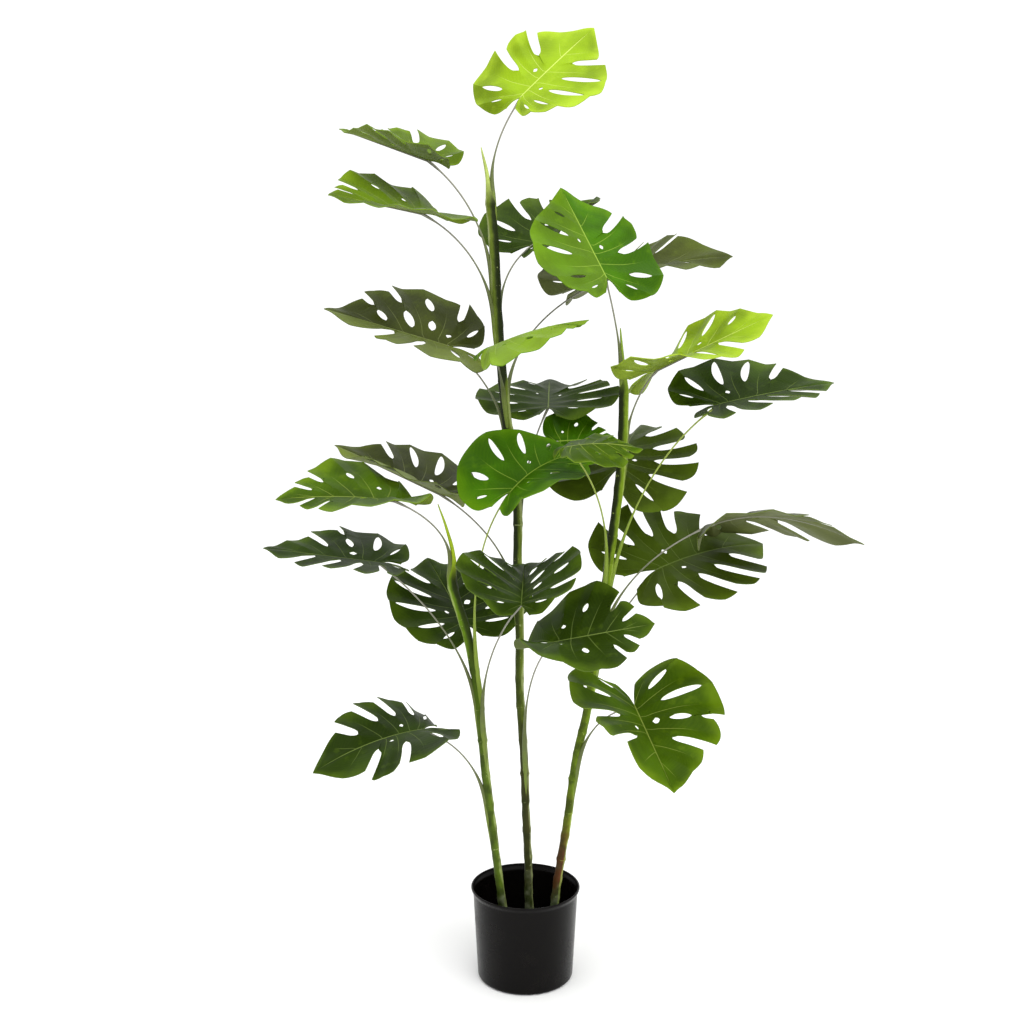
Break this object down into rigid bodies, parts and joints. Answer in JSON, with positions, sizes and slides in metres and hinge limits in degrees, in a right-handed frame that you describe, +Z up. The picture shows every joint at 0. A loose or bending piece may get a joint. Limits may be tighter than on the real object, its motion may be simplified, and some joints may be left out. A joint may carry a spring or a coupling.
{
  "type": "potted monstera",
  "caption": "Tall potted monstera with slender stems and large split, holed leaves, standing in a plain black nursery pot.",
  "frame": {"origin": "middle of the pot's underside, on the surface that the pot stands on", "axes": "+Z up along the plant's height, -Y towards the viewer of the picture, +X to the viewer's right"},
  "size_m": [0.7824, 0.5664, 1.2766],
  "materials": {
    "pot": "satin black plastic",
    "filler": "dark cast filler",
    "stem_green": "mid green, greyer near the foot",
    "stem_olive": "olive, mottled brown near the foot",
    "stem_brown": "green above, brown near the foot",
    "leaf_lime": "young lime-green leaf",
    "leaf_bright": "bright mid green leaf",
    "leaf_green": "mid green leaf with yellow-green edges",
    "leaf_dark": "dark forest green leaf with yellow-green edges",
    "leaf_olive": "dark olive leaf with a grey sheen"
  },
  "bodies": {
    "root": {"pot": "pot", "filler": "filler", "stem_left": "stem_green", "stem_centre": "stem_olive", "stem_right": "stem_brown", "leaf_01": "leaf_lime", "leaf_02": "leaf_green", "leaf_03": "leaf_green", "leaf_04": "leaf_dark", "leaf_05": "leaf_bright", "leaf_06": "leaf_olive", "leaf_07": "leaf_lime", "leaf_08": "leaf_dark", "leaf_09": "leaf_olive", "leaf_10": "leaf_bright", "leaf_11": "leaf_dark", "leaf_12": "leaf_bright", "leaf_13": "leaf_green", "leaf_14": "leaf_dark", "leaf_15": "leaf_dark", "leaf_16": "leaf_olive", "leaf_17": "leaf_dark", "leaf_18": "leaf_dark", "leaf_19": "leaf_dark", "leaf_20": "leaf_dark", "leaf_21": "leaf_green", "leaf_22": "leaf_olive", "leaf_23": "leaf_dark", "leaf_24": "leaf_green", "leaf_25": "leaf_bright"}
  },
  "joints": []
}
